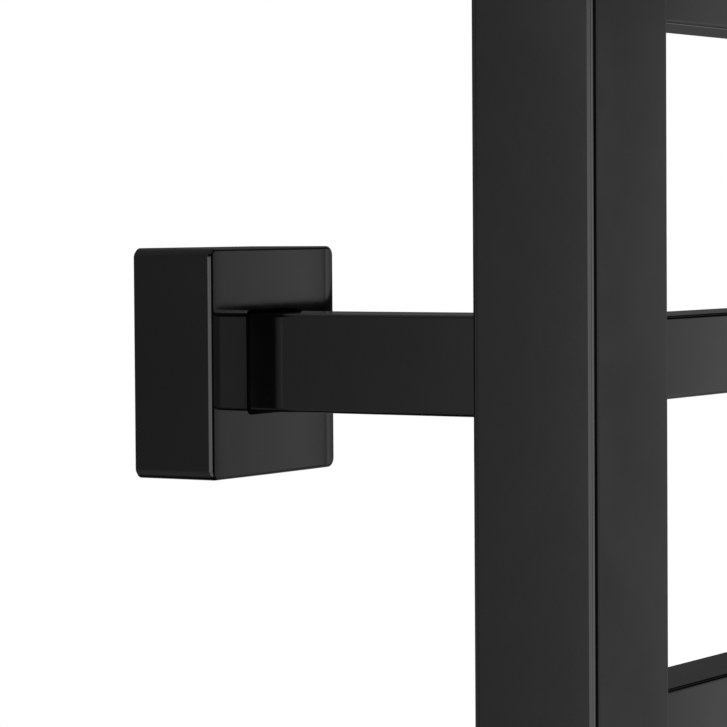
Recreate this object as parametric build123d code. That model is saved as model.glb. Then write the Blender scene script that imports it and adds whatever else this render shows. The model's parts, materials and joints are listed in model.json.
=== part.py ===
from build123d import *
import os

# Wall-hung electric towel warmer: two upright posts, a ladder of square crossbars,
# and four stand-off brackets whose square rosettes slide along their arms.
# Millimetres. X runs along the crossbars, Y points into the wall, Z is up.
# The wall is the plane Y = 0, and the origin is the centre of the four wall screws.

# Rack as a whole
RACK_WIDTH = 600.0          # outside of one post to outside of the other
WALL_STANDOFF = 82.0        # wall to the back of the posts
BAR_COUNT = 9
BAR_PITCH = 83.0
TOP_OVERHANG = 40.0         # axis of the top bar to the top of the rack
FOOT_OVERHANG = 96.0        # axis of the bottom bar to the foot of the rack

# Posts: rectangular tube
POST_WIDTH = 35.0
POST_DEPTH = 30.0
POST_WALL = 1.5
POST_EDGE = 1.8             # outer corner radius

# Crossbars: square tube, butted on the posts over a port of the bore's size
BAR_SIZE = 18.5
BAR_WALL = 1.2
BAR_EDGE = 1.0

# Stand-off arms: square tube on the backs of the posts
BRACKET_INSET = 1           # bars between an end of the ladder and its brackets
BRACKET_DROP = 0.8          # arm axis below the bar axis
ARM_SIZE = 22.0
ARM_WALL = 1.5
ARM_EDGE = 0.9

# Wall anchors: a plate with a hollow stub that carries the arm
ANCHOR_THICKNESS = 3.0
ANCHOR_CORNER = 3.0
ANCHOR_CLEARANCE = 1.5      # plate to the inside of the rosette, each side
WALL_SCREW_HOLE = 6.5       # diameter
STUB_LENGTH = 16.0
STUB_WALL = 2.5
STUB_CLEARANCE = 0.2        # stub to arm bore, each side
STUB_EDGE = 0.8
ARM_END_GAP = 0.5           # arm's end to the anchor plate

# Lock screws: grub screws under the arms, hidden by the rosettes
LOCK_SCREW = 5.0            # diameter
LOCK_LENGTH = 5.0
LOCK_FROM_WALL = 11.0
LOCK_CLEARANCE = 0.1
LOCK_SOCKET = 2.5           # hex key across flats
LOCK_SOCKET_DEPTH = 2.0

# Rosettes: hollow square covers that slide on the arms
ROSETTE_SIZE = 51.5
ROSETTE_DEPTH = 21.2
ROSETTE_CROWN = 0.25        # how far the front bulges between its left and right edges
ROSETTE_WALL = 2.5
ROSETTE_CORNER = 2.2        # corner radius seen from the front
ROSETTE_EDGE = 0.8          # radius round the front
ROSETTE_RIM = 0.6           # bevel at the wall
ROSETTE_LIP = 0.5           # bevel round the arm's hole
ROSETTE_CLEARANCE = 0.3     # hole to arm, each side
GRIP_SIZE = 30.0            # rubber ring behind the rosette's hole
GRIP_THICKNESS = 3.0
GRIP_CORNER = 3.0
GRIP_CLEARANCE = 0.2        # ring to arm, each side

# End caps of the posts
CAP_PLATE = 2.0
CAP_EDGE = 0.8
CAP_PLUG_LENGTH = 8.0
CAP_PLUG_WALL = 2.0
CAP_CLEARANCE = 0.3         # plug to post bore, each side

# Heating element in the right post, screwed into a bulkhead under the bottom bar
BULKHEAD_DROP = 6.0         # underside of the bottom bar to the bulkhead
BULKHEAD_THICKNESS = 4.0
ELEMENT_DIAMETER = 10.0
ELEMENT_LENGTH = 400.0      # above the bulkhead
ELEMENT_TIP = 2.0           # bevel of the upper end
BUSH_THREAD = 14.0
BUSH_HEX = 19.0             # across flats
BUSH_HEAD = 7.0
BUSH_REACH = 2.0            # threaded end past the bulkhead
BUSH_CLEARANCE = 0.05
THREAD_CLEARANCE = 0.1
GASKET_DIAMETER = 21.0
GASKET_THICKNESS = 1.5
PIN_DIAMETER = 2.4
PIN_LENGTH = 8.0
PIN_SPACING = 6.0

# Thermal cut-out, on the outer wall of the right post
CUTOUT_WIDTH = 5.0
CUTOUT_DEPTH = 10.0
CUTOUT_HEIGHT = 14.0
CUTOUT_EDGE = 1.0
CUTOUT_DROP = 8.0           # bush head to the cut-out

# Push button in the front of the right post
BUTTON_DROP = 52.0          # bottom bar's axis to the button's axis
BUTTON_DIAMETER = 10.8
BUTTON_PROUD = 1.0          # past the bezel at rest
BUTTON_TRAVEL = 1.5
BUTTON_EDGE = 0.6
BUTTON_COLLAR = 0.8         # retaining collar, wider than the cap by this radius
BUTTON_COLLAR_THICKNESS = 1.0
BUTTON_STEM = 4.0
STEM_LENGTH = 3.3
RING_WALL = 0.8             # light ring round the cap
RING_LENGTH = 2.0
BEZEL_BARREL = 16.0         # diameter
BEZEL_LENGTH = 10.0         # barrel behind the post's front
BEZEL_FLANGE = 20.0
BEZEL_FLANGE_THICKNESS = 1.2
BEZEL_EDGE = 0.5
BUTTON_CLEARANCE = 0.3      # moving cap to what it slides in
FIXED_CLEARANCE = 0.1       # between pieces that stay together
COLLAR_GAP = 0.4            # collar to the light ring at rest
NUT_HEX = 20.0
NUT_THICKNESS = 3.0
SWITCH_LENGTH = 8.0
SWITCH_GAP = 2.3            # pressed collar to the switch
SWITCH_WELL = 3.0           # depth of the hole that takes the stem

# Terminals on the back wall of the right post
BLOCK_WIDTH = 24.0
BLOCK_DEPTH = 10.0
BLOCK_HEIGHT = 12.0
BLOCK_ABOVE_PLUG = 3.0
BLOCK_EDGE = 0.8
TERMINAL_COUNT = 3
TERMINAL_SCREW = 4.0
TERMINAL_SCREW_LENGTH = 5.0
TERMINAL_SCREW_PROUD = 0.8
EARTH_STUD = 4.0
EARTH_STUD_LENGTH = 9.0
EARTH_NUT_HEX = 7.0
EARTH_NUT_THICKNESS = 3.2
EARTH_ABOVE_BLOCK = 10.0

# Cable gland in the foot of the right post
GLAND_THREAD = 12.0
GLAND_BORE = 7.0
GLAND_HEX = 16.0
GLAND_HEX_THICKNESS = 4.0
GLAND_LOCKNUT = 3.0
GLAND_DOME_LENGTH = 9.0
GLAND_DOME_MOUTH = 9.0
GLAND_DOME_EDGE = 2.5
GLAND_NECK = 6.0            # thread inside the dome nut

# Places worked out from the sizes above
POST_X = (RACK_WIDTH - POST_WIDTH) / 2
POST_Y = -WALL_STANDOFF - POST_DEPTH / 2
POST_FRONT = -WALL_STANDOFF - POST_DEPTH
BAR_LENGTH = RACK_WIDTH - 2 * POST_WIDTH
BRACKET_SPAN = (BAR_COUNT - 1 - 2 * BRACKET_INSET) * BAR_PITCH
TOP_BAR_Z = BRACKET_SPAN / 2 + BRACKET_DROP + BRACKET_INSET * BAR_PITCH
BAR_HEIGHTS = [TOP_BAR_Z - step * BAR_PITCH for step in range(BAR_COUNT)]
TOP_Z = BAR_HEIGHTS[0] + TOP_OVERHANG
FOOT_Z = BAR_HEIGHTS[-1] - FOOT_OVERHANG
STUB_SIZE = ARM_SIZE - 2 * ARM_WALL - 2 * STUB_CLEARANCE
ROSETTE_INSIDE = ROSETTE_SIZE - 2 * ROSETTE_WALL
ANCHOR_PLATE = ROSETTE_INSIDE - 2 * ANCHOR_CLEARANCE
SIDES = {"left": -1, "right": 1}
LEVELS = {"upper": BRACKET_SPAN / 2, "lower": -BRACKET_SPAN / 2}


def tube_section(width, height, wall, edge):
    """Section of a rectangular tube with rounded outer corners."""
    return RectangleRounded(width, height, edge) - Rectangle(width - 2 * wall, height - 2 * wall)


def hexagon(across_flats):
    return RegularPolygon(across_flats / 2, 6, major_radius=False)


def along_y(section, start, length):
    """Extrude a section drawn in X and Z from Y = start towards the wall."""
    return extrude(Plane.XZ.offset(-start - length) * section, length)


def along_z(section, start, length):
    """Extrude a section drawn in X and Y upwards from Z = start."""
    return extrude(Plane.XY.offset(start) * section, length)


def post(side):
    """Upright tube, pierced on its inner side by one port for each bar."""
    length = TOP_Z - FOOT_Z - 2 * CAP_PLATE
    section = tube_section(POST_WIDTH, POST_DEPTH, POST_WALL, POST_EDGE)
    tube = along_z(section, FOOT_Z + CAP_PLATE, length)
    port_size = BAR_SIZE - 2 * BAR_WALL
    port_x = -side * (POST_WIDTH - POST_WALL) / 2
    ports = [Pos(port_x, 0, z) * Box(2 * POST_WALL, port_size, port_size) for z in BAR_HEIGHTS]
    return Pos(side * POST_X, POST_Y, 0) * (tube - ports)


def crossbar(height):
    """Square tube between the posts."""
    section = tube_section(BAR_SIZE, BAR_SIZE, BAR_WALL, BAR_EDGE)
    bar = extrude(Plane.YZ.offset(-BAR_LENGTH / 2) * section, BAR_LENGTH)
    return Pos(0, POST_Y, height) * bar


def arm():
    """Square tube from the post's back to just short of the anchor plate."""
    start = -WALL_STANDOFF
    length = WALL_STANDOFF - ANCHOR_THICKNESS - ARM_END_GAP
    section = tube_section(ARM_SIZE, ARM_SIZE, ARM_WALL, ARM_EDGE)
    hole = Cylinder(LOCK_SCREW / 2 + LOCK_CLEARANCE, 4 * ARM_WALL)
    return along_y(section, start, length) - Pos(0, -LOCK_FROM_WALL, -ARM_SIZE / 2) * hole


def wall_anchor():
    """Plate on the wall, and a hollow stub that reaches into the arm."""
    plate = along_y(RectangleRounded(ANCHOR_PLATE, ANCHOR_PLATE, ANCHOR_CORNER),
                    -ANCHOR_THICKNESS, ANCHOR_THICKNESS)
    section = tube_section(STUB_SIZE, STUB_SIZE, STUB_WALL, STUB_EDGE)
    stub = along_y(section, -ANCHOR_THICKNESS - STUB_LENGTH, STUB_LENGTH)
    hole = along_y(Circle(WALL_SCREW_HOLE / 2), -ANCHOR_THICKNESS, ANCHOR_THICKNESS)
    return plate + stub - hole


def lock_screw():
    """Grub screw through the underside of the arm, with its tip on the stub."""
    tip = -STUB_SIZE / 2
    screw = along_z(Circle(LOCK_SCREW / 2), tip - LOCK_LENGTH, LOCK_LENGTH)
    socket = along_z(hexagon(LOCK_SOCKET), tip - LOCK_LENGTH, LOCK_SOCKET_DEPTH)
    return Pos(0, -LOCK_FROM_WALL, 0) * (screw - socket)


def rosette():
    """Square cover with a bulging front, open at the wall, with a hole for the arm."""
    half = ROSETTE_SIZE / 2
    shoulder = ROSETTE_CROWN - ROSETTE_DEPTH
    plan = Polyline((-half, shoulder), (-half, 0), (half, 0), (half, shoulder))
    plan += ThreePointArc((half, shoulder), (0, -ROSETTE_DEPTH), (-half, shoulder))
    body = along_z(make_face(plan), -half, ROSETTE_SIZE)
    body = fillet(body.edges().filter_by(Axis.Y), ROSETTE_CORNER)
    body = chamfer(body.faces().sort_by(Axis.Y)[-1].edges(), ROSETTE_RIM)
    body = fillet(body.faces().sort_by(Axis.Y)[0].edges(), ROSETTE_EDGE)
    hollow = along_y(Rectangle(ROSETTE_INSIDE, ROSETTE_INSIDE), ROSETTE_WALL - ROSETTE_DEPTH, ROSETTE_DEPTH)
    opening = ARM_SIZE + 2 * ROSETTE_CLEARANCE
    hole = along_y(RectangleRounded(opening, opening, ARM_EDGE + ROSETTE_CLEARANCE),
                   -ROSETTE_DEPTH, ROSETTE_DEPTH)
    body = body - hollow - hole
    lip = body.faces().sort_by(Axis.Y)[0].inner_wires()[0].edges()
    return chamfer(lip, ROSETTE_LIP)


def grip_ring():
    """Rubber ring inside the rosette, close round the arm."""
    opening = ARM_SIZE + 2 * GRIP_CLEARANCE
    section = RectangleRounded(GRIP_SIZE, GRIP_SIZE, GRIP_CORNER)
    section -= Rectangle(opening, opening)
    return along_y(section, ROSETTE_WALL - ROSETTE_DEPTH, GRIP_THICKNESS)


def end_cap():
    """Cap for the top of a post: a plate with a hollow plug under it, plate's top at Z = 0."""
    plate = along_z(RectangleRounded(POST_WIDTH, POST_DEPTH, POST_EDGE), -CAP_PLATE, CAP_PLATE)
    plate = chamfer(plate.faces().sort_by(Axis.Z)[-1].edges(), CAP_EDGE)
    slack = POST_WALL + CAP_CLEARANCE
    plug = Rectangle(POST_WIDTH - 2 * slack, POST_DEPTH - 2 * slack)
    section = plug - offset(plug, -CAP_PLUG_WALL)
    return plate + along_z(section, -CAP_PLATE - CAP_PLUG_LENGTH, CAP_PLUG_LENGTH)


def foot_cap():
    return Rot(180, 0, 0) * end_cap()


def gland_cap():
    """Foot cap of the right post, drilled for the cable gland."""
    return foot_cap() - along_z(Circle(GLAND_THREAD / 2 + THREAD_CLEARANCE), 0, CAP_PLATE)


def gland_pieces():
    """Cable gland at the foot, from Z = 0 at the outside of the cap."""
    thread = along_z(Circle(GLAND_THREAD / 2), 0, CAP_PLATE + GLAND_LOCKNUT)
    shoulder = along_z(hexagon(GLAND_HEX), -GLAND_HEX_THICKNESS, GLAND_HEX_THICKNESS)
    neck_end = -GLAND_HEX_THICKNESS - GLAND_NECK
    neck = along_z(Circle(GLAND_THREAD / 2), neck_end, GLAND_NECK)
    bore = along_z(Circle(GLAND_BORE / 2), neck_end, GLAND_NECK + GLAND_HEX_THICKNESS
                   + CAP_PLATE + GLAND_LOCKNUT)
    body = thread + shoulder + neck - bore

    dome_end = -GLAND_HEX_THICKNESS - GLAND_DOME_LENGTH
    dome = along_z(Circle(GLAND_HEX / 2), dome_end, GLAND_DOME_LENGTH)
    dome = chamfer(dome.faces().sort_by(Axis.Z)[0].edges(), GLAND_DOME_EDGE)
    dome -= along_z(Circle(GLAND_THREAD / 2 + THREAD_CLEARANCE), neck_end, GLAND_NECK)
    dome -= along_z(Circle(GLAND_DOME_MOUTH / 2), dome_end, GLAND_DOME_LENGTH)

    nut_section = hexagon(GLAND_HEX) - Circle(GLAND_THREAD / 2 + THREAD_CLEARANCE)
    locknut = along_z(nut_section, CAP_PLATE, GLAND_LOCKNUT)
    return {"gland_body": body, "gland_dome_nut": dome, "gland_locknut": locknut}


def heater_pieces():
    """Immersion heater on the post's axis, from Z = 0 at the underside of the bulkhead."""
    bore_width = POST_WIDTH - 2 * POST_WALL
    bore_depth = POST_DEPTH - 2 * POST_WALL
    thread_hole = Circle(BUSH_THREAD / 2 + THREAD_CLEARANCE)
    bulkhead = along_z(Rectangle(bore_width, bore_depth) - thread_hole, 0, BULKHEAD_THICKNESS)

    gasket = along_z(Circle(GASKET_DIAMETER / 2) - thread_hole, -GASKET_THICKNESS, GASKET_THICKNESS)

    head = -GASKET_THICKNESS - BUSH_HEAD
    shank_length = GASKET_THICKNESS + BULKHEAD_THICKNESS + BUSH_REACH
    bush = along_z(hexagon(BUSH_HEX), head, BUSH_HEAD)
    bush += along_z(Circle(BUSH_THREAD / 2), -GASKET_THICKNESS, shank_length)
    rod_hole = Circle(ELEMENT_DIAMETER / 2 + BUSH_CLEARANCE)
    bush -= along_z(rod_hole, head, BUSH_HEAD + shank_length)

    rod = along_z(Circle(ELEMENT_DIAMETER / 2), head, ELEMENT_LENGTH + BULKHEAD_THICKNESS - head)
    rod = chamfer(rod.edges().sort_by(Axis.Z)[-1], ELEMENT_TIP)

    pin = along_z(Circle(PIN_DIAMETER / 2), head - PIN_LENGTH, PIN_LENGTH)
    pins = Compound([Pos(0, y, 0) * pin for y in (-PIN_SPACING / 2, PIN_SPACING / 2)])

    cutout_x = bore_width / 2 - CUTOUT_WIDTH / 2
    cutout_z = head - CUTOUT_DROP - CUTOUT_HEIGHT / 2
    cutout = Box(CUTOUT_WIDTH, CUTOUT_DEPTH, CUTOUT_HEIGHT)
    cutout = Pos(cutout_x, 0, cutout_z) * chamfer(cutout.edges().filter_by(Axis.Z), CUTOUT_EDGE)
    return {"element_bulkhead": bulkhead, "element_gasket": gasket, "element_bush": bush,
            "heating_element": rod, "element_pins": pins, "thermal_cutout": cutout}


def button_pieces():
    """Push button, from Y = 0 at the post's front face, with the bezel outside."""
    cap_radius = BUTTON_DIAMETER / 2
    ring_inner = cap_radius + BUTTON_CLEARANCE
    ring_outer = ring_inner + RING_WALL
    bezel_bore = ring_outer + FIXED_CLEARANCE
    mouth = -BEZEL_FLANGE_THICKNESS

    flange = along_y(Circle(BEZEL_FLANGE / 2), mouth, BEZEL_FLANGE_THICKNESS)
    flange = chamfer(flange.edges().sort_by(Axis.Y)[0], BEZEL_EDGE)
    barrel = along_y(Circle(BEZEL_BARREL / 2), 0, BEZEL_LENGTH)
    bore = along_y(Circle(bezel_bore), mouth, BEZEL_FLANGE_THICKNESS + BEZEL_LENGTH)
    bezel = flange + barrel - bore

    ring = along_y(Circle(ring_outer) - Circle(ring_inner), mouth, RING_LENGTH)

    collar_start = mouth + RING_LENGTH + COLLAR_GAP
    cap = along_y(Circle(cap_radius), mouth - BUTTON_PROUD, collar_start - mouth + BUTTON_PROUD)
    cap = chamfer(cap.edges().sort_by(Axis.Y)[0], BUTTON_EDGE)
    cap += along_y(Circle(cap_radius + BUTTON_COLLAR), collar_start, BUTTON_COLLAR_THICKNESS)
    stem_start = collar_start + BUTTON_COLLAR_THICKNESS
    cap += along_y(Circle(BUTTON_STEM / 2), stem_start, STEM_LENGTH)

    switch_start = stem_start + BUTTON_TRAVEL + SWITCH_GAP
    switch = along_y(Circle(ring_outer), switch_start, SWITCH_LENGTH)
    switch -= along_y(Circle(BUTTON_STEM / 2 + BUTTON_CLEARANCE), switch_start, SWITCH_WELL)

    nut_section = hexagon(NUT_HEX) - Circle(BEZEL_BARREL / 2 + FIXED_CLEARANCE)
    nut = along_y(nut_section, POST_WALL, NUT_THICKNESS)
    return {"button_bezel": bezel, "button_light_ring": ring, "button_cap": cap,
            "switch_body": switch, "bezel_nut": nut}


def terminal_pieces():
    """Terminal block on the post's back wall and the earth stud, from Z = 0 at the foot."""
    back = POST_DEPTH / 2 - POST_WALL
    block_bottom = CAP_PLATE + CAP_PLUG_LENGTH + BLOCK_ABOVE_PLUG
    block = Box(BLOCK_WIDTH, BLOCK_DEPTH, BLOCK_HEIGHT)
    block = fillet(block.edges().filter_by(Axis.Y), BLOCK_EDGE)
    block = Pos(0, back - BLOCK_DEPTH / 2, block_bottom + BLOCK_HEIGHT / 2) * block
    screw = along_y(Circle(TERMINAL_SCREW / 2), back - BLOCK_DEPTH - TERMINAL_SCREW_PROUD,
                    TERMINAL_SCREW_LENGTH)
    well = along_y(Circle(TERMINAL_SCREW / 2 + FIXED_CLEARANCE), back - BLOCK_DEPTH,
                   TERMINAL_SCREW_LENGTH - TERMINAL_SCREW_PROUD)
    step = BLOCK_WIDTH / TERMINAL_COUNT
    first = (step - BLOCK_WIDTH) / 2
    places = [Pos(first + index * step, 0, block_bottom + BLOCK_HEIGHT / 2)
              for index in range(TERMINAL_COUNT)]
    block -= [place * well for place in places]
    screws = Compound([place * screw for place in places])

    wall_x = POST_WALL - POST_WIDTH / 2
    stud_z = block_bottom + BLOCK_HEIGHT + EARTH_ABOVE_BLOCK
    stud_plane = Plane.YZ.offset(wall_x)
    stud = Pos(0, 0, stud_z) * extrude(stud_plane * Circle(EARTH_STUD / 2), EARTH_STUD_LENGTH)
    nut_section = hexagon(EARTH_NUT_HEX) - Circle(EARTH_STUD / 2 + FIXED_CLEARANCE)
    nut = Pos(0, 0, stud_z) * extrude(stud_plane * nut_section, EARTH_NUT_THICKNESS)
    return {"terminal_block": block, "terminal_screws": screws,
            "earth_stud": stud, "earth_nut": nut}


def control_post():
    """Right post, with the hole for the push button in its front."""
    hole = along_y(Circle(BEZEL_BARREL / 2 + FIXED_CLEARANCE), POST_FRONT, POST_WALL)
    return post(SIDES["right"]) - Pos(POST_X, 0, BAR_HEIGHTS[-1] - BUTTON_DROP) * hole


def rack_pieces():
    pieces = {"left_post": post(SIDES["left"]), "right_post": control_post()}
    for index, height in enumerate(BAR_HEIGHTS, 1):
        pieces[f"crossbar_{index}"] = crossbar(height)
    for name, side in SIDES.items():
        pieces[f"{name}_top_cap"] = Pos(side * POST_X, POST_Y, TOP_Z) * end_cap()
    pieces["left_foot_cap"] = Pos(-POST_X, POST_Y, FOOT_Z) * foot_cap()
    pieces["right_foot_cap"] = Pos(POST_X, POST_Y, FOOT_Z) * gland_cap()
    return pieces


def bracket_pieces():
    pieces = {}
    screws = []
    for level, height in LEVELS.items():
        for name, side in SIDES.items():
            place = Pos(side * POST_X, 0, height)
            bracket = f"{level}_{name}"
            pieces[f"{bracket}_arm"] = place * arm()
            pieces[f"{bracket}_wall_anchor"] = place * wall_anchor()
            pieces[f"{bracket}_rosette"] = place * rosette()
            pieces[f"{bracket}_grip_ring"] = place * grip_ring()
            screws.append(place * lock_screw())
    pieces["arm_lock_screws"] = Compound(screws)
    return pieces


def control_pieces():
    bulkhead_top = BAR_HEIGHTS[-1] - BAR_SIZE / 2 - BULKHEAD_DROP
    groups = [
        (Pos(POST_X, POST_Y, bulkhead_top - BULKHEAD_THICKNESS), heater_pieces()),
        (Pos(POST_X, POST_FRONT, BAR_HEIGHTS[-1] - BUTTON_DROP), button_pieces()),
        (Pos(POST_X, POST_Y, FOOT_Z), terminal_pieces()),
        (Pos(POST_X, POST_Y, FOOT_Z), gland_pieces()),
    ]
    return {name: place * piece for place, group in groups for name, piece in group.items()}


os.makedirs("parts", exist_ok=True)
for node, shape in {**rack_pieces(), **bracket_pieces(), **control_pieces()}.items():
    export_step(shape, f"parts/{node}.step")
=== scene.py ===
"""Looks of the towel warmer rack: finishes on its CAD pieces, studio and camera."""
import json
import math

import bmesh
import bpy
from mathutils import Matrix, Vector


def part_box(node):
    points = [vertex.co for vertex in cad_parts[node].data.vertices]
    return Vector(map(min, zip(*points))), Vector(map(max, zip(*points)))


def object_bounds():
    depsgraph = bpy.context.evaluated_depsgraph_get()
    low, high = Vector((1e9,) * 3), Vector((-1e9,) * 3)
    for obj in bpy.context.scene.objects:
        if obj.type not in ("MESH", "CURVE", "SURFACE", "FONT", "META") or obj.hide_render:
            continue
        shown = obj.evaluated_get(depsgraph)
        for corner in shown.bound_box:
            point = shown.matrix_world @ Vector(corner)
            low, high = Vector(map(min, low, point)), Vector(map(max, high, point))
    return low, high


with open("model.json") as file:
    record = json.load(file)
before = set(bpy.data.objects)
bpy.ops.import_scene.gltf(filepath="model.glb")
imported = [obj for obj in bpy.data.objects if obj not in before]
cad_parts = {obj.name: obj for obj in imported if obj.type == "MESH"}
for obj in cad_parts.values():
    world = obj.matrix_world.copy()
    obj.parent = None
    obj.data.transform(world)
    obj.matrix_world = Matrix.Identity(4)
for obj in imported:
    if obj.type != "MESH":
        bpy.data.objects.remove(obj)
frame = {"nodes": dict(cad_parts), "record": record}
cad_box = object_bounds()

# Camera, fitted to the edges of the post, the bars, the arm and the rosette
IMAGE_SIZE = 727                    # pixels, square
FOCAL_PIXELS = 3418.4
SENSOR = 36.0                       # millimetres
CLIP_START = 0.01
CAMERA_PLACE = Vector((-0.93380, -0.44139, 0.27992))
CAMERA_AZIMUTH = math.radians(-58.652)
CAMERA_ELEVATION = math.radians(2.345)
CAMERA_ROLL = math.radians(-0.379)

# Finishes
NOISE_SPAN = (0.35, 0.65)           # values of a noise between which two tones blend
ROLL_WIDTH = 0.006                  # strip in which the rosettes' fronts roll off to their upright edges
ROLL_DEPTH = 0.0005
ROLL_POWER = 4.0                    # how late the roll sets in

# Studio dome, seen only in reflections. Its heights and sides are shares of its radius.
DOME_RADIUS = 3.0
DOME_SEGMENTS = 96
DOME_RINGS = 48
SHADE_HEIGHTS = (0.02, 0.26)        # the dome darkens upwards, except at the back
SHADE_SIDE = (-0.45, -0.33)         # towards the front, where the shade starts and is full
OVERHEAD_HEIGHTS = (0.34, 0.60)     # a light overhead comes in upwards
OVERHEAD_TONE = 0.30
BACK_GLOW_HEIGHTS = (-0.12, -0.30)  # a light low at the back comes in downwards
BACK_GLOW_SIDE = (0.0, -0.3)        # towards the front, where it starts and is full
BACK_GLOW_TONE = 0.40
FRONT_GLOW_HEIGHTS = (-0.18, -0.30)  # and a light low in front
FRONT_GLOW_SIDE = (0.55, 0.80)      # towards the front, where it starts and is full
FRONT_GLOW_TONE = 0.50
UNDERFOOT_HEIGHTS = (-0.60, -0.85)  # the dome goes dark downwards

# Brightness of the dome by direction, in degrees from the rack's left towards its front, all the way round
DOME_TONES = [
    (-180, 0.32),
    (-157, 0.07),
    (-146, 0.07),
    (-125, 0.03),
    (-100, 0.15),
    (-75, 0.38),
    (-44, 0.38),
    (-36.5, 0.23),
    (-32, 0.35),
    (-27, 0.64),
    (-24, 2.20),
    (25, 2.20),
    (25.6, 0.02),
    (31.4, 0.02),
    (32.8, 4.50),
    (37, 4.50),
    (38, 2.20),
    (54, 2.20),
    (60, 0.02),
    (95, 0.02),
    (106, 0.58),
    (116, 0.78),
    (126, 0.44),
    (145.5, 0.46),
    (150.8, 0.60),
    (151.7, 0.28),
    (153.3, 0.33),
    (153.8, 0.50),
    (155, 0.57),
    (158, 0.50),
    (164, 0.28),
    (180, 0.32),
]

# Floor and background
FLOOR_DROP = 0.35                   # floor below the foot of the rack
FLOOR_RADIUS = 3.0
FLOOR_SEGMENTS = 96
FLOOR_COLOUR = (0.80, 0.80, 0.80, 1)
FLOOR_FADE = (0.9, 2.4)             # distances between which the floor fades into the background
WHITE = (1, 1, 1, 1)
SOFT_LIGHT = 0.45                   # strength of the even light from all round

# Soft lamps: name, place from the photographed bracket, size and power
LAMPS = [
    ("key_lamp", (-1.6, -1.8, 1.4), 1.4, 42.0),
    ("fill_lamp", (1.9, -1.2, 0.8), 1.4, 16.0),
    ("back_lamp", (0.2, 2.0, 1.2), 1.2, 12.0),
]


def set_values(node, **values):
    """Set constants on a node's input sockets, given with underscores for spaces."""
    for name, value in values.items():
        node.inputs[name.replace("_", " ")].default_value = value


def math_node(tree, operation, *inputs):
    """A Math node over sockets or numbers, and its result."""
    node = tree.nodes.new("ShaderNodeMath")
    node.operation = operation
    for socket, value in zip(node.inputs, inputs):
        if isinstance(value, (int, float)):
            socket.default_value = value
        else:
            tree.links.new(value, socket)
    return node.outputs["Value"]


def fade(tree, source, start, end):
    """0 up to start, 1 from end on, and a soft step between."""
    node = tree.nodes.new("ShaderNodeMapRange")
    node.interpolation_type = "SMOOTHSTEP"
    set_values(node, From_Min=start, From_Max=end)
    tree.links.new(source, node.inputs["Value"])
    return node.outputs["Result"]


def blend(tree, share, first, second):
    """First where the share is 0, and the number second where it is 1."""
    step = math_node(tree, "SUBTRACT", second, first)
    return math_node(tree, "MULTIPLY_ADD", share, step, first)


def axes(tree):
    """The X, Y and Z sockets of a surface's own coordinates."""
    split = tree.nodes.new("ShaderNodeSeparateXYZ")
    tree.links.new(tree.nodes.new("ShaderNodeTexCoord").outputs["Object"], split.inputs["Vector"])
    return split.outputs


class Surface:
    """A material with one Principled shader, and short calls to wire its detail."""

    def __init__(self, name, **values):
        self.material = bpy.data.materials.new(name)
        self.material.use_nodes = True
        self.tree = self.material.node_tree
        self.shader = self.tree.nodes["Principled BSDF"]
        set_values(self.shader, **values)
        self.place = self.add("ShaderNodeTexCoord").outputs["Object"]

    def add(self, kind, **values):
        node = self.tree.nodes.new(kind)
        set_values(node, **values)
        return node

    def link(self, source, target):
        self.tree.links.new(source, target)

    def stretched(self, scale):
        """The surface's own coordinates, scaled apart along X, Y and Z."""
        mapping = self.add("ShaderNodeMapping", Scale=scale)
        self.link(self.place, mapping.inputs["Vector"])
        return mapping.outputs["Vector"]

    def noise(self, scale, detail=3.0, place=None):
        node = self.add("ShaderNodeTexNoise", Scale=scale, Detail=detail)
        self.link(place or self.place, node.inputs["Vector"])
        return node.outputs["Fac"]

    def ramp(self, source, low, high):
        """A colour from low to high as the source crosses NOISE_SPAN."""
        node = self.add("ShaderNodeValToRGB")
        for stop, place, colour in zip(node.color_ramp.elements, NOISE_SPAN, (low, high)):
            stop.position = place
            stop.color = (*colour, 1)
        self.link(source, node.inputs["Fac"])
        return node.outputs["Color"]

    def colour(self, source, low, high):
        self.link(self.ramp(source, low, high), self.shader.inputs["Base Color"])

    def roughness(self, source, low, high):
        self.link(self.ramp(source, (low, low, low), (high, high, high)), self.shader.inputs["Roughness"])

    def bump(self, source, strength, height):
        """Relief, on top of any that the surface has already."""
        node = self.add("ShaderNodeBump", Strength=strength, Distance=height)
        self.link(source, node.inputs["Height"])
        for earlier in self.shader.inputs["Normal"].links:
            self.link(earlier.from_socket, node.inputs["Normal"])
        self.link(node.outputs["Normal"], self.shader.inputs["Normal"])


def gloss_black(name):
    """Gloss black enamel: faint orange peel, and a haze that varies over a few centimetres."""
    surface = Surface(name, IOR=1.5)
    surface.colour(surface.noise(35.0), low=(0.0010, 0.0010, 0.0011), high=(0.0022, 0.0022, 0.0024))
    surface.roughness(surface.noise(60.0, detail=5.0), low=0.055, high=0.095)
    surface.bump(surface.noise(420.0, detail=2.0), strength=0.08, height=0.00004)
    return surface


def rolled_black():
    """The same enamel on the rosettes, whose fronts roll off softly towards their upright edges."""
    low, high = (Vector(corner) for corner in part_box("upper_left_rosette"))
    half = (high.x - low.x) / 2
    surface = gloss_black("rolled_black")
    tree = surface.tree
    from_origin = math_node(tree, "ABSOLUTE", axes(tree)["X"])
    off_middle = math_node(tree, "SUBTRACT", from_origin, abs(low.x + high.x) / 2)
    roll = surface.add("ShaderNodeMapRange", From_Min=half - ROLL_WIDTH, From_Max=half)
    surface.link(math_node(tree, "ABSOLUTE", off_middle), roll.inputs["Value"])
    drop = math_node(tree, "POWER", roll.outputs["Result"], ROLL_POWER)
    surface.bump(math_node(tree, "SUBTRACT", 1.0, drop), strength=1.0, height=ROLL_DEPTH)
    return surface


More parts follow.
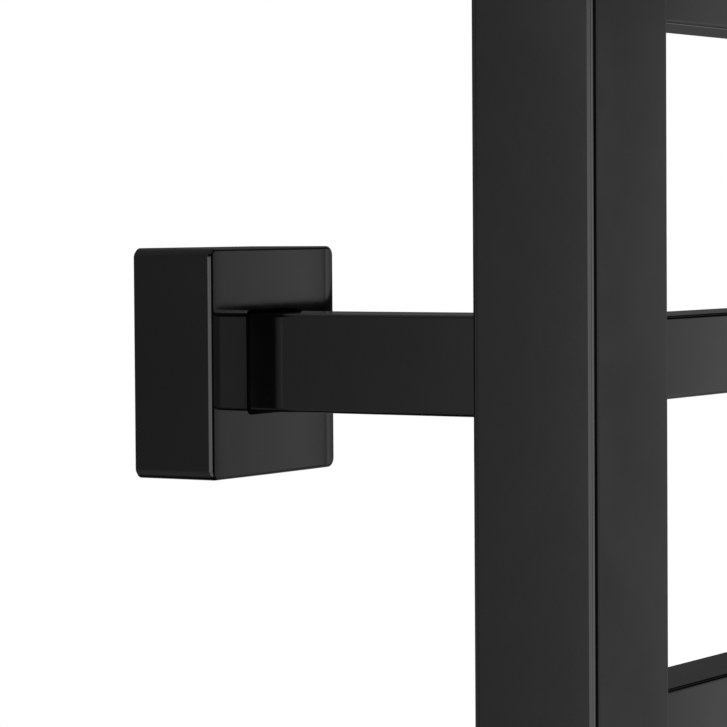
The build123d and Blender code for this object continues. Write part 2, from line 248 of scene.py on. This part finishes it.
def brushed_metal(name, dark, bright, grain):
    """Metal with fine drawn lines along Z, and patches of duller finish."""
    surface = Surface(name, Metallic=1.0)
    lines = surface.noise(grain, detail=6.0, place=surface.stretched((1, 1, 0.04)))
    surface.colour(lines, dark, bright)
    surface.roughness(surface.noise(90.0, detail=4.0), low=0.24, high=0.42)
    surface.bump(lines, strength=0.12, height=0.00005)
    return surface.material


def rubber():
    """Matt black rubber with a fine moulded grain."""
    surface = Surface("rubber")
    surface.colour(surface.noise(120.0), low=(0.012, 0.012, 0.012), high=(0.024, 0.024, 0.024))
    surface.roughness(surface.noise(300.0), low=0.62, high=0.82)
    surface.bump(surface.noise(1600.0), strength=0.25, height=0.0001)
    return surface.material


def moulded_plastic(name, dark, bright):
    """Moulded plastic with a spark-eroded grain."""
    surface = Surface(name, IOR=1.47)
    surface.colour(surface.noise(80.0), dark, bright)
    surface.roughness(surface.noise(240.0), low=0.38, high=0.55)
    surface.bump(surface.noise(1900.0, detail=4.0), strength=0.2, height=0.00006)
    return surface.material


def light_ring():
    """Clear milky plastic round the button, unlit."""
    surface = Surface("light_ring", IOR=1.49, Transmission_Weight=0.25)
    surface.colour(surface.noise(400.0), low=(0.62, 0.64, 0.67), high=(0.74, 0.75, 0.77))
    surface.roughness(surface.noise(500.0), low=0.2, high=0.32)
    return surface.material


def materials():
    """One finished material for each slot of the record, and one for the rosettes."""
    return {
        "gloss_black": gloss_black("gloss_black").material,
        "rolled_black": rolled_black().material,
        "zinc_steel": brushed_metal("zinc_steel", (0.50, 0.51, 0.53), (0.66, 0.67, 0.68), 1500.0),
        "stainless": brushed_metal("stainless", (0.42, 0.41, 0.39), (0.58, 0.57, 0.55), 2200.0),
        "brass": brushed_metal("brass", (0.62, 0.44, 0.17), (0.78, 0.60, 0.29), 2600.0),
        "rubber": rubber(),
        "black_plastic": moulded_plastic("black_plastic", (0.014, 0.014, 0.015), (0.026, 0.026, 0.028)),
        "white_plastic": moulded_plastic("white_plastic", (0.66, 0.65, 0.61), (0.76, 0.75, 0.71)),
        "light_ring": light_ring(),
    }


def dress():
    """Give each CAD piece the finish of its slot, and the rosettes their own."""
    finishes = materials()
    for part in frame["record"]["subparts"]:
        piece = frame["nodes"][part["node"]]
        piece.data.materials.clear()
        rolled = part["node"].endswith("_rosette")
        piece.data.materials.append(finishes["rolled_black" if rolled else part["material_slot"]])


def new_object(name, data):
    """An object of a mesh, lamp or camera, linked into the scene."""
    piece = bpy.data.objects.new(name, data)
    bpy.context.scene.collection.objects.link(piece)
    return piece


def mesh_from(name, shape):
    """A mesh of the shape, which is freed."""
    mesh = bpy.data.meshes.new(name)
    shape.to_mesh(mesh)
    shape.free()
    return mesh


def blank_material(name):
    """A node material with only its output left, its tree, and that output's surface socket."""
    material = bpy.data.materials.new(name)
    material.use_nodes = True
    tree = material.node_tree
    tree.nodes.remove(tree.nodes["Principled BSDF"])
    return material, tree, tree.nodes["Material Output"].inputs["Surface"]


def sees_background(tree):
    """1 for rays that should see the white background: camera, glossy and transmission."""
    path = tree.nodes.new("ShaderNodeLightPath").outputs
    seen = math_node(tree, "MAXIMUM", path["Is Camera Ray"], path["Is Glossy Ray"])
    return math_node(tree, "MAXIMUM", seen, path["Is Transmission Ray"])


def build_world():
    """White background, and a soft even light from all round."""
    world = bpy.data.worlds.new("studio")
    bpy.context.scene.world = world
    world.use_nodes = True
    tree = world.node_tree
    background = tree.nodes["Background"]
    set_values(background, Color=WHITE)
    spread = tree.nodes.new("ShaderNodeMapRange")
    set_values(spread, To_Min=SOFT_LIGHT, To_Max=1.0)
    tree.links.new(sees_background(tree), spread.inputs["Value"])
    tree.links.new(spread.outputs["Result"], background.inputs["Strength"])


def dome_tone(tree, along):
    """Brightness from DOME_TONES at a share of the way round. The ramp's own two stops are its ends."""
    brightest = max(tone for _, tone in DOME_TONES)
    ramp = tree.nodes.new("ShaderNodeValToRGB")
    stops = ramp.color_ramp.elements
    for angle, _ in DOME_TONES[1:-1]:
        stops.new((angle + 180) / 360)
    for stop, (_, tone) in zip(stops, DOME_TONES):
        share = tone / brightest
        stop.color = (share, share, share, 1)
    tree.links.new(along, ramp.inputs["Fac"])
    return math_node(tree, "MULTIPLY", ramp.outputs["Color"], brightest)


def dome_material():
    """Glow by direction from DOME_TONES, shaded upwards, with lights overhead and low down."""
    material, tree, surface = blank_material("studio_dome")
    place = axes(tree)
    left = math_node(tree, "DIVIDE", place["X"], -DOME_RADIUS)
    front = math_node(tree, "DIVIDE", place["Y"], -DOME_RADIUS)
    height = math_node(tree, "DIVIDE", place["Z"], DOME_RADIUS)
    turn = math_node(tree, "ARCTAN2", front, left)
    tone = dome_tone(tree, math_node(tree, "MULTIPLY_ADD", turn, 0.5 / math.pi, 0.5))

    shade = math_node(tree, "MULTIPLY", fade(tree, height, *SHADE_HEIGHTS), fade(tree, front, *SHADE_SIDE))
    tone = blend(tree, shade, tone, 0.0)
    tone = blend(tree, fade(tree, height, *OVERHEAD_HEIGHTS), tone, OVERHEAD_TONE)
    low_back = math_node(tree, "MULTIPLY", fade(tree, height, *BACK_GLOW_HEIGHTS),
                         fade(tree, front, *BACK_GLOW_SIDE))
    tone = blend(tree, low_back, tone, BACK_GLOW_TONE)
    low_front = math_node(tree, "MULTIPLY", fade(tree, height, *FRONT_GLOW_HEIGHTS),
                          fade(tree, front, *FRONT_GLOW_SIDE))
    tone = math_node(tree, "MAXIMUM", tone, math_node(tree, "MULTIPLY", low_front, FRONT_GLOW_TONE))
    tone = blend(tree, fade(tree, height, *UNDERFOOT_HEIGHTS), tone, 0.0)

    glow = tree.nodes.new("ShaderNodeEmission")
    tree.links.new(tone, glow.inputs["Strength"])
    tree.links.new(glow.outputs["Emission"], surface)
    return material


def build_dome(centre):
    """Studio dome about the photographed bracket, seen only in reflections."""
    shape = bmesh.new()
    bmesh.ops.create_uvsphere(shape, u_segments=DOME_SEGMENTS, v_segments=DOME_RINGS, radius=DOME_RADIUS)
    mesh = mesh_from("studio_dome", shape)
    mesh.materials.append(dome_material())
    dome = new_object("studio_dome", mesh)
    dome.location = centre
    dome.visible_camera = False
    dome.visible_diffuse = False
    dome.visible_shadow = False
    dome.visible_transmission = False


def floor_material():
    """Pale matt floor that takes shadows and fades outwards into the white background."""
    material, tree, surface = blank_material("floor")
    reach = tree.nodes.new("ShaderNodeVectorMath")
    reach.operation = "LENGTH"
    tree.links.new(tree.nodes.new("ShaderNodeTexCoord").outputs["Object"], reach.inputs[0])
    faded = fade(tree, reach.outputs["Value"], *FLOOR_FADE)
    matt = tree.nodes.new("ShaderNodeBsdfDiffuse")
    set_values(matt, Color=FLOOR_COLOUR)
    white = tree.nodes.new("ShaderNodeEmission")
    set_values(white, Color=WHITE, Strength=1.0)
    mix = tree.nodes.new("ShaderNodeMixShader")
    tree.links.new(math_node(tree, "MULTIPLY", faded, sees_background(tree)), mix.inputs["Fac"])
    tree.links.new(matt.outputs["BSDF"], mix.inputs[1])
    tree.links.new(white.outputs["Emission"], mix.inputs[2])
    tree.links.new(mix.outputs["Shader"], surface)
    return material


def build_floor():
    """Round floor below the rack as it hangs."""
    low, high = (Vector(corner) for corner in cad_box)
    shape = bmesh.new()
    bmesh.ops.create_circle(shape, cap_ends=True, segments=FLOOR_SEGMENTS, radius=FLOOR_RADIUS)
    mesh = mesh_from("floor", shape)
    mesh.materials.append(floor_material())
    floor = new_object("floor", mesh)
    floor.location = ((low.x + high.x) / 2, (low.y + high.y) / 2, low.z - FLOOR_DROP)
    floor.visible_glossy = False


def build_lamps(centre):
    """Square area lamps aimed at the bracket, left out of reflections, which the dome supplies."""
    for name, offset, size, power in LAMPS:
        light = bpy.data.lights.new(name, "AREA")
        light.size = size
        light.energy = power
        lamp = new_object(name, light)
        lamp.location = centre + Vector(offset)
        lamp.rotation_euler = (-Vector(offset)).to_track_quat("-Z", "Y").to_euler()
        lamp.visible_glossy = False


def build_camera():
    """Camera at the photograph's place, with its long lens."""
    lens = bpy.data.cameras.new("camera")
    lens.sensor_width = SENSOR
    lens.lens = FOCAL_PIXELS / IMAGE_SIZE * SENSOR
    lens.clip_start = CLIP_START
    camera = new_object("camera", lens)
    level = math.cos(CAMERA_ELEVATION)
    back = Vector((math.sin(CAMERA_AZIMUTH) * level, -math.cos(CAMERA_AZIMUTH) * level,
                   math.sin(CAMERA_ELEVATION)))
    right = Vector((math.cos(CAMERA_AZIMUTH), math.sin(CAMERA_AZIMUTH), 0))
    up = back.cross(right)
    turned_right = math.cos(CAMERA_ROLL) * right + math.sin(CAMERA_ROLL) * up
    turned_up = math.cos(CAMERA_ROLL) * up - math.sin(CAMERA_ROLL) * right
    turn = Matrix((turned_right, turned_up, back)).transposed().to_4x4()
    camera.matrix_world = Matrix.Translation(CAMERA_PLACE) @ turn
    bpy.context.scene.camera = camera


dress()
bracket_low, bracket_high = (Vector(corner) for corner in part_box("upper_left_arm"))
post_low, post_high = (Vector(corner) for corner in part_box("left_post"))
subject = Vector(((post_low.x + post_high.x) / 2, (post_low.y + post_high.y) / 2,
                  (bracket_low.z + bracket_high.z) / 2))
build_world()
build_dome(subject)
build_floor()
build_lamps(subject)
build_camera()
bpy.context.scene.view_settings.view_transform = "Standard"
